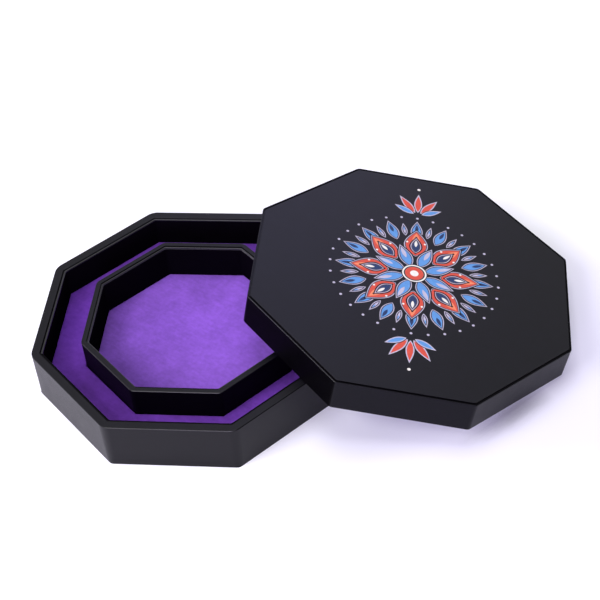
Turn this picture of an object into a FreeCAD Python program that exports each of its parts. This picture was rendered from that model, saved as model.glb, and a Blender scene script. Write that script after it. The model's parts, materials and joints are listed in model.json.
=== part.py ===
"""Octagonal dice tray with a lift-off lid, leaning on the tray's rim.

Millimetres and degrees. The origin is the centre of the tray's flat underside, +Z is up and -Y is
the front. The tray has a wall of eight mitred boards round a moat, and a lower ring of eight thinner
boards round the rolling well. The lid is a skirt of eight boards under a cover plate. It is modelled
level in its own frame, with its origin at the centre of the skirt's lower edge, and then leaned.
"""

import FreeCAD, Part

import math
import os

# Tray
TRAY_ACROSS = 210.0
TRAY_HEIGHT = 37.7
TRAY_WALL = 6.3
RIM_CORNER_RADIUS = 11.0
FOOT_CORNER_RADIUS = 2.0
RIM_ROUND = 0.6
INNER_EDGE_ROUND = 0.5
FOOT_ROUND = 0.3
BOTTOM_BOARD_THICK = 3.0

# Lining strips inside both walls
LINING_THICK = 1.15
LINING_BELOW_RIM = 0.3
LINING_BELOW_RING = 1.5

# Ring round the rolling well, with a moat between it and the wall's lining
MOAT_WIDTH = 25.05
RING_WALL = 3.8
RING_CORNER_RADIUS = 6.0
RING_BELOW_RIM = 0.6
RING_EDGE_ROUND = 0.7

# Floors: foam under velvet
VELVET_THICK = 1.4
MOAT_FOAM_THICK = 9.8
WELL_FOAM_THICK = 5.3

# Lid
LID_CLEARANCE = 0.9
LID_WALL = 5.6
LID_CORNER_RADIUS = 4.5
LID_SKIRT_HEIGHT = 23.3
LID_TOP_BOARD_THICK = 3.0
LID_LINING_THICK = 1.2
COVER_PLATE_THICK = 1.2
COVER_EDGE_ROUND = 0.4
JOINT_CHAMFER = 0.25
BEAD_WIDTH = 0.8
GROOVE_WIDTH = 1.0
FACE_PANEL_THICK = 0.8

# How the lid leans: its lowest corner is just off the floor and its skirt lies across the rim
LID_OVERLAP = 66.7
LID_OFFSET = 29.6
LID_YAW = -1.04
LEAN_HEADING = 11.5
STEEPEST_LEAN = 35.0
LEAN_STEPS = 16
FLOOR_GAP = 0.15
SEAT_GAP = 0.3

# Sizes that follow from the ones above
SIDES = 8
TURN = 360.0 / SIDES
HALF_TURN = math.radians(TURN / 2)
TRAY_INSIDE = TRAY_ACROSS - 2 * TRAY_WALL
MOAT_OUTSIDE = TRAY_INSIDE - 2 * LINING_THICK
RING_ACROSS = MOAT_OUTSIDE - 2 * MOAT_WIDTH
RING_INSIDE = RING_ACROSS - 2 * RING_WALL
WELL_ACROSS = RING_INSIDE - 2 * LINING_THICK
RING_TOP = TRAY_HEIGHT - RING_BELOW_RIM
LID_INSIDE = TRAY_ACROSS + 2 * LID_CLEARANCE
LID_ACROSS = LID_INSIDE + 2 * LID_WALL
LID_CEILING = LID_SKIRT_HEIGHT - LID_TOP_BOARD_THICK
LID_TOP = LID_SKIRT_HEIGHT + COVER_PLATE_THICK
RECESS_ACROSS = LID_ACROSS - 2 * BEAD_WIDTH
RECESS_FLOOR = LID_TOP - FACE_PANEL_THICK
FACE_PANEL_ACROSS = RECESS_ACROSS - 2 * GROOVE_WIDTH

SIDE_NAMES = (
    "front",
    "front_right",
    "right",
    "back_right",
    "back",
    "back_left",
    "left",
    "front_left",
)
ORIGIN = FreeCAD.Vector(0, 0, 0)
UP = FreeCAD.Vector(0, 0, 1)
FINE = 1e-6


def corners(across, z=0.0):
    """Corner points of an octagon, `across` from flat to flat, with one flat facing the front."""
    reach = across / 2 / math.cos(HALF_TURN)
    points = []
    for side in range(SIDES):
        angle = math.radians(-90 + TURN * side) + HALF_TURN
        points.append(FreeCAD.Vector(reach * math.cos(angle), reach * math.sin(angle), z))
    return points


def prism(points, height):
    """Straight prism that stands on the closed outline `points`."""
    outline = Part.makePolygon(points + points[:1])
    return Part.Face(outline).extrude(UP * height)


def slab(across, low, high, top_radius=0.0, foot_radius=None):
    """Octagonal slab from z = low to z = high.

    Its upright corners are rounded by `top_radius`. Where `foot_radius` is given, the rounding
    changes evenly to that at the low end.
    """
    solid = prism(corners(across, low), high - low)
    if top_radius <= 0:
        return solid
    uprights = [edge for edge in solid.Edges if edge.BoundBox.ZLength > (high - low) / 2]
    if foot_radius is None:
        return solid.makeFillet(top_radius, uprights)
    return solid.makeFillet(foot_radius, top_radius, uprights)


def edges_at(solid, z):
    """Edges of a solid that lie in the level plane at z."""
    return [
        edge
        for edge in solid.Edges
        if abs(edge.BoundBox.ZMin - z) < FINE and abs(edge.BoundBox.ZMax - z) < FINE
    ]


def inner_edges_at(solid, z, across):
    """Edges of a solid in the plane at z that lie inside the circle round an octagon's flats."""
    limit = across / 2 + FINE
    found = []
    for edge in edges_at(solid, z):
        middle = edge.valueAt((edge.FirstParameter + edge.LastParameter) / 2)
        if math.hypot(middle.x, middle.y) < limit:
            found.append(edge)
    return found


def side_wedge(reach, low, high):
    """Wedge from the centre that spans the front side between its two mitre planes."""
    outline = corners(2 * reach, low)
    return prism([FreeCAD.Vector(0, 0, low), outline[-1], outline[0]], high - low)


def frame(block, across, wall, low, high, top_round):
    """Closed octagonal frame, cut from a block with rounded corners, with a rounded outer top edge."""
    solid = block.makeFillet(top_round, edges_at(block, high))
    return solid.cut(slab(across - 2 * wall, low, high))


def mitred_boards(ring, across, wall, low, high, inner_round=0.0):
    """Cut a frame into its eight equal boards, each with its inner top edge eased."""
    board = ring.common(side_wedge(across, low, high)).Solids[0]
    if inner_round > 0:
        board = board.makeFillet(inner_round, inner_edges_at(board, high, across - 2 * wall))
    return [board.rotated(ORIGIN, UP, TURN * side) for side in range(SIDES)]


def tube(outside, inside, low, high):
    """Octagonal tube or flat ring with sharp corners."""
    return slab(outside, low, high).cut(slab(inside, low, high))


def tray_frame():
    """The tray's outer wall in one piece: its corners are full at the rim and tight at the foot."""
    block = slab(TRAY_ACROSS, 0.0, TRAY_HEIGHT, RIM_CORNER_RADIUS, FOOT_CORNER_RADIUS)
    block = block.makeFillet(FOOT_ROUND, edges_at(block, 0.0))
    return frame(block, TRAY_ACROSS, TRAY_WALL, 0.0, TRAY_HEIGHT, RIM_ROUND)


def ring_frame():
    """The ring round the rolling well in one piece, standing on the bottom board."""
    block = slab(RING_ACROSS, BOTTOM_BOARD_THICK, RING_TOP, RING_CORNER_RADIUS)
    return frame(block, RING_ACROSS, RING_WALL, BOTTOM_BOARD_THICK, RING_TOP, RING_EDGE_ROUND)


def lid_frame():
    """The lid's skirt in one piece, with its top edge chamfered where it meets the cover plate."""
    solid = slab(LID_ACROSS, 0.0, LID_SKIRT_HEIGHT, LID_CORNER_RADIUS)
    solid = solid.makeChamfer(JOINT_CHAMFER, edges_at(solid, LID_SKIRT_HEIGHT))
    solid = solid.makeFillet(FOOT_ROUND, edges_at(solid, 0.0))
    return solid.cut(slab(LID_INSIDE, 0.0, LID_SKIRT_HEIGHT))


def floor_pads():
    """Foam and velvet of the moat and of the rolling well."""
    moat_top = BOTTOM_BOARD_THICK + MOAT_FOAM_THICK
    well_top = BOTTOM_BOARD_THICK + WELL_FOAM_THICK
    return {
        "moat_foam": tube(MOAT_OUTSIDE, RING_ACROSS, BOTTOM_BOARD_THICK, moat_top),
        "moat_velvet": tube(MOAT_OUTSIDE, RING_ACROSS, moat_top, moat_top + VELVET_THICK),
        "well_foam": slab(WELL_ACROSS, BOTTOM_BOARD_THICK, well_top),
        "well_velvet": slab(WELL_ACROSS, well_top, well_top + VELVET_THICK),
    }


def tray_pieces():
    """Every piece of the tray, by node name."""
    pieces = {"bottom_board": slab(TRAY_INSIDE, 0.0, BOTTOM_BOARD_THICK)}
    walls = mitred_boards(
        tray_frame(), TRAY_ACROSS, TRAY_WALL, 0.0, TRAY_HEIGHT, INNER_EDGE_ROUND
    )
    ring = mitred_boards(
        ring_frame(), RING_ACROSS, RING_WALL, BOTTOM_BOARD_THICK, RING_TOP, INNER_EDGE_ROUND
    )
    for name, wall, ring_board in zip(SIDE_NAMES, walls, ring):
        pieces["base_wall_" + name] = wall
        pieces["ring_wall_" + name] = ring_board
    pieces["base_lining"] = tube(
        TRAY_INSIDE, MOAT_OUTSIDE, BOTTOM_BOARD_THICK, TRAY_HEIGHT - LINING_BELOW_RIM
    )
    pieces["ring_lining"] = tube(
        RING_INSIDE, WELL_ACROSS, BOTTOM_BOARD_THICK, RING_TOP - LINING_BELOW_RING
    )
    pieces.update(floor_pads())
    return pieces


def cover_plate():
    """Plate over the skirt, with a beaded edge and a recess for the face panel."""
    plate = slab(LID_ACROSS, LID_SKIRT_HEIGHT, LID_TOP, LID_CORNER_RADIUS)
    plate = plate.makeFillet(COVER_EDGE_ROUND, edges_at(plate, LID_TOP))
    plate = plate.makeChamfer(JOINT_CHAMFER, edges_at(plate, LID_SKIRT_HEIGHT))
    recess_radius = max(LID_CORNER_RADIUS - BEAD_WIDTH, 0.0)
    return plate.cut(slab(RECESS_ACROSS, RECESS_FLOOR, LID_TOP, recess_radius))


def lid_pieces():
    """Every piece of the lid, level in the lid's own frame, by node name."""
    panel_radius = max(LID_CORNER_RADIUS - BEAD_WIDTH - GROOVE_WIDTH, 0.0)
    pieces = {
        "lid_cover_plate": cover_plate(),
        "lid_face_panel": slab(FACE_PANEL_ACROSS, RECESS_FLOOR, LID_TOP, panel_radius),
        "lid_top_board": slab(LID_INSIDE, LID_CEILING, LID_SKIRT_HEIGHT),
        "lid_lining": slab(LID_INSIDE, LID_CEILING - LID_LINING_THICK, LID_CEILING),
    }
    walls = mitred_boards(lid_frame(), LID_ACROSS, LID_WALL, 0.0, LID_SKIRT_HEIGHT)
    for name, wall in zip(SIDE_NAMES, walls):
        pieces["lid_wall_" + name] = wall
    return pieces


def lean(tilt):
    """Placement of the lid's frame when it is tilted by `tilt`, its lowest corner just off the floor."""
    heading = math.radians(LEAN_HEADING)
    downhill = FreeCAD.Vector(math.cos(heading), math.sin(heading), 0)
    yaw = FreeCAD.Rotation(UP, LID_YAW)
    rotation = FreeCAD.Rotation(UP.cross(downhill), tilt).multiply(yaw)
    arc_centres = corners(LID_ACROSS - 2 * LID_CORNER_RADIUS)
    reach = max(yaw.multVec(point).dot(downhill) for point in arc_centres) + LID_CORNER_RADIUS
    height = FLOOR_GAP + reach * math.sin(math.radians(tilt))
    beside = TRAY_ACROSS / 2 + LID_ACROSS / 2 - LID_OVERLAP
    return FreeCAD.Placement(FreeCAD.Vector(beside, LID_OFFSET, height), rotation)


def resting_lean():
    """Smallest tilt at which the lid's skirt clears the rim and the ring by the seat gap."""
    skirt = lid_frame()
    tray = Part.makeCompound([tray_frame(), ring_frame()])
    low, high = 0.0, STEEPEST_LEAN
    for _ in range(LEAN_STEPS):
        middle = (low + high) / 2
        placed = skirt.transformed(lean(middle).toMatrix())
        if placed.distToShape(tray)[0] < SEAT_GAP:
            low = middle
        else:
            high = middle
    return high


def main():
    """Write one STEP file for each piece."""
    os.makedirs("parts", exist_ok=True)
    for name, shape in tray_pieces().items():
        shape.exportStep("parts/" + name + ".step")
    leaned = lean(resting_lean()).toMatrix()
    for name, shape in lid_pieces().items():
        shape.transformed(leaned).exportStep("parts/" + name + ".step")


main()
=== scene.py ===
"""Octagonal dice tray with a lift-off lid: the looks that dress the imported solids.

The tray has a leatherette wall round a velvet moat, and a lower leatherette ring round the velvet
rolling well. The lid is a leatherette cap with a beaded top and a printed panel. Every hard piece is
one profile carried round a rounded octagon by a Geometry Nodes tree, and its sizes come from the frame.
"""

import json
import logging
import math
from collections.abc import Callable, Sequence
from dataclasses import dataclass, field
from enum import Enum
from typing import Union

import bmesh
import bpy
from bpy.types import Material, Mesh, Node, NodeSocket, NodeTree, Object
from mathutils import Matrix, Vector, noise

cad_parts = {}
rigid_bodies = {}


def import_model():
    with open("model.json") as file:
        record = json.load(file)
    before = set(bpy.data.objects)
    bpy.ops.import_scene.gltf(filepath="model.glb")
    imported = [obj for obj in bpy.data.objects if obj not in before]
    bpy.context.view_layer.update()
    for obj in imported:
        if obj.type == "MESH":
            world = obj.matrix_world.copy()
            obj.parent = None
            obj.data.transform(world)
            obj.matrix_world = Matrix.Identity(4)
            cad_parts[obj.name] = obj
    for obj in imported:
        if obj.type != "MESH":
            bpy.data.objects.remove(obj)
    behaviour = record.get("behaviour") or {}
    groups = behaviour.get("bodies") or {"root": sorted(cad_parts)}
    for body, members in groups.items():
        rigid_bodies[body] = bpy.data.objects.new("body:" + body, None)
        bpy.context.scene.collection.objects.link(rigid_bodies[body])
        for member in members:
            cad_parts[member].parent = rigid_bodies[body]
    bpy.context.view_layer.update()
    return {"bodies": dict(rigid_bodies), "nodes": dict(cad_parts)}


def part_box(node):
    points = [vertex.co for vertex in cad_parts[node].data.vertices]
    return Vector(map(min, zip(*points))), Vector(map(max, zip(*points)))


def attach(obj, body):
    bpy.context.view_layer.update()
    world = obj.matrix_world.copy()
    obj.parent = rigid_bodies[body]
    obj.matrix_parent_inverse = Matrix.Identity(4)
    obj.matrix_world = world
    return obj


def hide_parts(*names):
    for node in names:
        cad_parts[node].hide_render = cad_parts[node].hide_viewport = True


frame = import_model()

log = logging.getLogger("dice_tray")

MM = 0.001
SIDES = 8
TURN = math.tau / SIDES
HALF_TURN = TURN / 2
SLOPE = math.tan(HALF_TURN)
ARC_STEPS = 10

# Points nearer than a weld, in metres, are one point; a hair stands for a span of nothing.
WELD = 1e-6
HAIR = 1e-9

# A face looks along an axis over one cosine and stands edge-on to it under the other.
FACE_ON = 0.99
EDGE_ON = 0.1

Number = Union[float, "Term"]
Triple = tuple[float, float, float]
Colour = Triple
Pair = tuple[float, float]
BLACK = (0.0, 0.0, 0.0)


class Side(Enum):
    """The eight sides, counted from the front towards the right."""

    FRONT = "front"
    FRONT_RIGHT = "front_right"
    RIGHT = "right"
    BACK_RIGHT = "back_right"
    BACK = "back"
    BACK_LEFT = "back_left"
    LEFT = "left"
    FRONT_LEFT = "front_left"


class Body(Enum):
    """The rigid bodies that pieces ride on."""

    TRAY = "tray"
    LID = "lid"


# ---- Node trees ----


def _operator(operation: str, mirrored: bool = False) -> Callable[["Term", Number], "Term"]:
    """Make an operator that adds one Math node.

    Args:
        operation: what the node does.
        mirrored: whether the term stands on the right.

    Returns:
        The operator.
    """

    def apply(term: "Term", other: Number) -> "Term":
        """Add the node."""
        return term.graph.math(operation, *((other, term) if mirrored else (term, other)))

    return apply


class Term:
    """A number inside a node tree. Python maths on it adds Math nodes to the tree."""

    __add__ = _operator("ADD")
    __radd__ = _operator("ADD", mirrored=True)
    __sub__ = _operator("SUBTRACT")
    __rsub__ = _operator("SUBTRACT", mirrored=True)
    __mul__ = _operator("MULTIPLY")
    __rmul__ = _operator("MULTIPLY", mirrored=True)
    __truediv__ = _operator("DIVIDE")
    __rtruediv__ = _operator("DIVIDE", mirrored=True)

    def __init__(self, graph: "Graph", socket: NodeSocket) -> None:
        """Wrap one output socket of a tree."""
        self.graph = graph
        self.socket = socket

    def __neg__(self) -> "Term":
        """Opposite."""
        return self * -1.0

    def __abs__(self) -> "Term":
        """Absolute value."""
        return self.graph.math("ABSOLUTE", self)

    def clamp(self) -> "Term":
        """The value held between 0 and 1."""
        return self.graph.math("MINIMUM", self.graph.math("MAXIMUM", self, 0.0), 1.0)


class Graph:
    """A node tree that is written as expressions."""

    def __init__(self, tree: NodeTree) -> None:
        """Start on an empty or a fresh tree."""
        self.tree = tree

    def add(self, kind: str, settings: dict[str, object] | None = None, **sockets: object) -> Node:
        """Add one node.

        Args:
            kind: the node's type, such as "ShaderNodeTexNoise".
            settings: properties that are set before the sockets.
            **sockets: values or links by socket name or identifier, with _ for a space.

        Returns:
            The new node.
        """
        node = self.tree.nodes.new(kind)
        for name, value in (settings or {}).items():
            setattr(node, name, value)
        for name, value in sockets.items():
            self.set(self._socket(node.inputs, name), value)
        return node

    def set(self, socket: NodeSocket, value: object) -> None:
        """Fill a socket.

        Args:
            socket: the socket.
            value: a term or a socket to link, or a plain value to store.
        """
        if isinstance(value, Term):
            self.tree.links.new(value.socket, socket)
        elif isinstance(value, NodeSocket):
            self.tree.links.new(value, socket)
        elif socket.type == "RGBA":
            socket.default_value = (*value, 1.0)
        else:
            socket.default_value = value

    def out(self, node: Node, name: str | None = None) -> Term:
        """One output of a node: by name or identifier, or else the first that is in use."""
        in_use = (socket for socket in node.outputs if socket.enabled)
        return Term(self, self._socket(node.outputs, name) if name else next(in_use))

    def math(self, operation: str, *values: Number) -> Term:
        """Add one Math node.

        Args:
            operation: what it does.
            *values: up to three values.

        Returns:
            Its result.
        """
        node = self.add("ShaderNodeMath", {"operation": operation})
        for socket, value in zip(node.inputs, values):
            self.set(socket, value)
        return Term(self, node.outputs[0])

    def length(self, x: Term, y: Term) -> Term:
        """Length of the flat vector (x, y)."""
        return self.math("SQRT", x * x + y * y)

    def scaled(self, vector: object, factor: Number) -> Term:
        """A vector or colour times a number."""
        node = self.add("ShaderNodeVectorMath", {"operation": "SCALE"}, Vector=vector, Scale=factor)
        return self.out(node)

    def mix(self, factor: Number, first: object, second: object) -> Term:
        """Mix two colours."""
        sockets = {"Factor_Float": factor, "A_Color": first, "B_Color": second}
        return self.out(self.add("ShaderNodeMix", {"data_type": "RGBA"}, **sockets), "Result_Color")

    def shown(self) -> Term:
        """Tell which rays show a surface: straight and mirrored ones, and those through glass.

        Returns:
            1 for such a ray, or else 0.
        """
        path = self.add("ShaderNodeLightPath")
        straight = self.out(path, "Is Camera Ray")
        mirrored = self.math("MAXIMUM", straight, self.out(path, "Is Glossy Ray"))
        return self.math("MAXIMUM", mirrored, self.out(path, "Is Transmission Ray"))

    @staticmethod
    def _socket(sockets: Sequence[NodeSocket], name: str) -> NodeSocket:
        """Find a socket.

        Args:
            sockets: the inputs or the outputs of a node.
            name: the socket's identifier, or else its name.

        Returns:
            The socket.
        """
        plain = name.replace("_", " ")
        for socket in sockets:
            if socket.identifier in (name, plain):
                return socket
        return next(socket for socket in sockets if socket.name == plain)


class Surface(Graph):
    """A material's node tree, with the patterns that the finishes share."""

    def __init__(self, name: str) -> None:
        """Make the material and its shader.

        Args:
            name: the material's name.
        """
        self.material = bpy.data.materials.new(name)
        self.material.use_nodes = True
        super().__init__(self.material.node_tree)
        self.tree.nodes.clear()
        self.shader = self.add("ShaderNodeBsdfPrincipled")
        self.end = self.add("ShaderNodeOutputMaterial", Surface=self.out(self.shader, "BSDF"))
        self.place = self.out(self.add("ShaderNodeTexCoord"), "Object")

    def shade(self, **values: object) -> None:
        """Set or link sockets of the shader."""
        for name, value in values.items():
            self.set(self._socket(self.shader.inputs, name), value)

    def stretched(self, scale: Triple, turn: float) -> Term:
        """Object coordinates, turned about Z and then scaled along each axis."""
        turned = self.add("ShaderNodeMapping", Vector=self.place, Rotation=(0.0, 0.0, turn))
        return self.out(self.add("ShaderNodeMapping", Vector=self.out(turned), Scale=scale))

    def clouds(self, size: float, detail: float = 2.0, at: Term | None = None) -> Term:
        """Soft noise about 0.5 whose patches are about `size` wide, in metres or in units of `at`."""
        sockets = {"Vector": at or self.place, "Scale": 1.0 / size, "Detail": detail}
        return self.out(self.add("ShaderNodeTexNoise", **sockets), "Fac")

    def pebbles(self, size: float) -> Term:
        """Distance inside rounded cells about `size` metres wide, 0 at each cell's middle."""
        sockets = {"Vector": self.place, "Scale": 1.0 / size, "Smoothness": 0.35}
        return self.out(self.add("ShaderNodeTexVoronoi", {"feature": "SMOOTH_F1"}, **sockets), "Distance")

    def relief(self, height: Number, depth: float, under: Term | None = None) -> Term:
        """Add a bump.

        Args:
            height: its height, as a share of the depth.
            depth: how far a height of 1 stands proud, in metres.
            under: the bump that it lies on, if any.

        Returns:
            The normal.
        """
        node = self.add("ShaderNodeBump", Height=height, Distance=depth, Strength=1.0)
        if under is not None:
            self.set(node.inputs["Normal"], under)
        return self.out(node, "Normal")


# ---- Finishes ----


@dataclass(frozen=True)
class Finish:
    """A finish in one colour, with a procedural tree."""

    name: str
    colour: Colour

    def material(self) -> Material:
        """Make the material.

        Returns:
            The finished material.
        """
        surface = Surface(self.name)
        self.draw(surface)
        return surface.material

    def draw(self, surface: Surface) -> None:
        """Fill the tree; each kind of finish has its own way."""
        raise NotImplementedError


@dataclass(frozen=True)
class Leatherette(Finish):
    """Black satin leatherette: a very fine pebble grain over slightly uneven board."""

    name: str = "black_leatherette"
    colour: Colour = (0.0024, 0.0021, 0.0042)
    roughness: float = 0.34
    gloss: float = 0.158
    grain: float = 0.9 * MM
    grain_depth: float = 0.040 * MM
    ripple: float = 26 * MM
    ripple_depth: float = 0.035 * MM

    def draw(self, surface: Surface) -> None:
        """Fill the tree.

        Args:
            surface: the tree.
        """
        cells = surface.pebbles(self.grain)
        fine = surface.clouds(0.18 * MM, 1.0)
        tone = surface.clouds(9 * MM, 3.0)
        skin = surface.relief(surface.clouds(self.ripple, 1.0), self.ripple_depth)
        surface.shade(
            Base_Color=surface.scaled(self.colour, 0.80 + 0.40 * tone - 0.15 * cells),
            Roughness=self.roughness - 0.05 + 0.10 * tone + 0.04 * cells,
            Specular_IOR_Level=self.gloss,
            IOR=1.5,
            Normal=surface.relief(1.0 - cells + 0.35 * fine, self.grain_depth, skin),
        )


@dataclass(frozen=True)
class Flock(Finish):
    """Black flocked strip: almost no gloss and a short dense nap."""

    name: str = "black_lining"
    colour: Colour = (0.0022, 0.0014, 0.0032)

    def draw(self, surface: Surface) -> None:
        """Fill the tree.

        Args:
            surface: the tree.
        """
        nap = surface.clouds(0.25 * MM)
        rub = surface.clouds(14 * MM)
        surface.shade(
            Base_Color=surface.scaled(self.colour, 0.55 + 0.5 * nap + 0.4 * rub),
            Roughness=0.86 + 0.12 * nap,
            Specular_IOR_Level=0.0,
            Normal=surface.relief(nap, 0.05 * MM),
        )


@dataclass(frozen=True)
class Velvet(Finish):
    """Purple velvet with a short nap that lies in soft brushed patches."""

    name: str = "purple_velvet"
    colour: Colour = (0.220, 0.085, 0.520)
    dark: float = 0.80
    light: float = 1.16
    sheen: float = 0.35

    def draw(self, surface: Surface) -> None:
        """Fill the tree.

        Args:
            surface: the tree.
        """
        patches = surface.clouds(17 * MM)
        strokes = surface.clouds(1.0, at=surface.stretched((95.0, 420.0, 95.0), 0.6))
        dimples = surface.clouds(2.6 * MM)
        fibres = surface.clouds(0.35 * MM)
        lie = (0.45 * patches + 0.25 * strokes + 0.30 * dimples - 0.35) / 0.30
        level = self.dark + (self.light - self.dark) * lie.clamp()
        pile = surface.relief(0.5 * strokes + patches, 0.10 * MM)
        surface.shade(
            Base_Color=surface.scaled(self.colour, level + 0.22 * (fibres - 0.5)),
            Roughness=0.82 + 0.12 * fibres,
            Specular_IOR_Level=0.25,
            Sheen_Weight=self.sheen,
            Sheen_Roughness=0.45,
            Sheen_Tint=(0.62, 0.25, 1.0),
            Normal=surface.relief(fibres, 0.09 * MM, pile),
        )


@dataclass(frozen=True)
class Foam(Finish):
    """Dark open-cell foam."""

    name: str = "foam"
    colour: Colour = (0.055, 0.052, 0.060)

    def draw(self, surface: Surface) -> None:
        """Fill the tree.

        Args:
            surface: the tree.
        """
        cells = surface.pebbles(0.9 * MM)
        tone = surface.clouds(12 * MM)
        surface.shade(
            Base_Color=surface.scaled(self.colour, 0.45 + 0.9 * cells + 0.35 * tone),
            Roughness=0.90 + 0.08 * tone,
            Specular_IOR_Level=0.2,
            Normal=surface.relief(cells, 0.35 * MM),
        )


@dataclass(frozen=True)
class PaperedBoard(Finish):
    """Greyboard, bare or covered in paper: pressed fibres and faint flecks."""

    def draw(self, surface: Surface) -> None:
        """Fill the tree.

        Args:
            surface: the tree.
        """
        fibres = surface.clouds(1.0, 3.0, surface.stretched((260.0, 1500.0, 900.0), 0.9))
        flecks = 0.35 * (0.18 - surface.pebbles(1.7 * MM)).clamp()
        tone = surface.clouds(22 * MM, 3.0)
        surface.shade(
            Base_Color=surface.scaled(self.colour, 0.82 + 0.30 * tone + 0.18 * (fibres - 0.5) - flecks),
            Roughness=0.78 + 0.10 * fibres,
            Specular_IOR_Level=0.35,
            Normal=surface.relief(fibres, 0.03 * MM),
        )


@dataclass(frozen=True)
class Petals:
    """One wreath of equal petals in a rosette; lengths are shares of the rosette's radius."""

    count: int
    start: float
    tip: float
    half_width: float
    fill: Colour
    heart: Colour
    turned: bool = False


@dataclass(frozen=True)
class Medallion:
    """A traditional round rosette with a small palmette above and below, printed in matt inks."""

    radius: float = 60 * MM
    line: float = 0.0105
    silver: Colour = (0.50, 0.47, 0.60)
    cream: Colour = (0.83, 0.80, 0.74)
    sky: Colour = (0.115, 0.30, 0.64)
    coral: Colour = (0.62, 0.085, 0.055)
    peach: Colour = (0.80, 0.25, 0.13)
    night: Colour = (0.020, 0.040, 0.115)

    def wreaths(self) -> tuple[Petals, ...]:
        """List the wreaths.

        Returns:
            The wreaths from the outermost to the innermost.
        """
        return (
            Petals(16, 0.60, 0.95, 0.078, self.sky, self.night),
            Petals(16, 0.66, 0.90, 0.040, self.silver, self.sky, turned=True),
            Petals(8, 0.30, 0.78, 0.150, self.coral, self.peach),
            Petals(8, 0.36, 0.64, 0.070, self.night, self.cream),
            Petals(8, 0.12, 0.52, 0.085, self.sky, self.silver, turned=True),
        )

    def paint(self, surface: Surface, spot: Term) -> tuple[Term, Term]:
        """Draw the medallion.

        Args:
            surface: the tree to draw in.
            spot: coordinates whose X and Y are metres from the medallion's centre.

        Returns:
            The ink's colour, and how much of the surface the ink covers.
        """
        split = surface.add("ShaderNodeSeparateXYZ", Vector=spot)
        x = surface.out(split, "X") / self.radius
        y = surface.out(split, "Y") / self.radius
        press = _Press(surface, self.line, surface.length(x, y), surface.math("ARCTAN2", y, x))
        for wreath in self.wreaths():
            press.petals(wreath, self.silver)
        press.dots(32, 1.0, 0.016, self.silver)
        press.dots(16, 0.555, 0.014, self.cream, turned=True)
        press.ring(0.135, 0.020, self.cream)
        press.disc(0.110, self.coral)
        press.disc(0.050, self.cream)
        up = abs(y) - 1.06
        across = abs(x)
        press.reach = surface.length(across, up)
        press.angle = surface.math("ARCTAN2", across, up)
        press.fan((0.0, 0.62), 0.42, 0.055, self.coral, self.silver)
        press.fan((1.10,), 0.34, 0.048, self.sky, self.silver)
        press.dots(1, 0.50, 0.020, self.cream)
        return press.colour, press.cover


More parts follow.
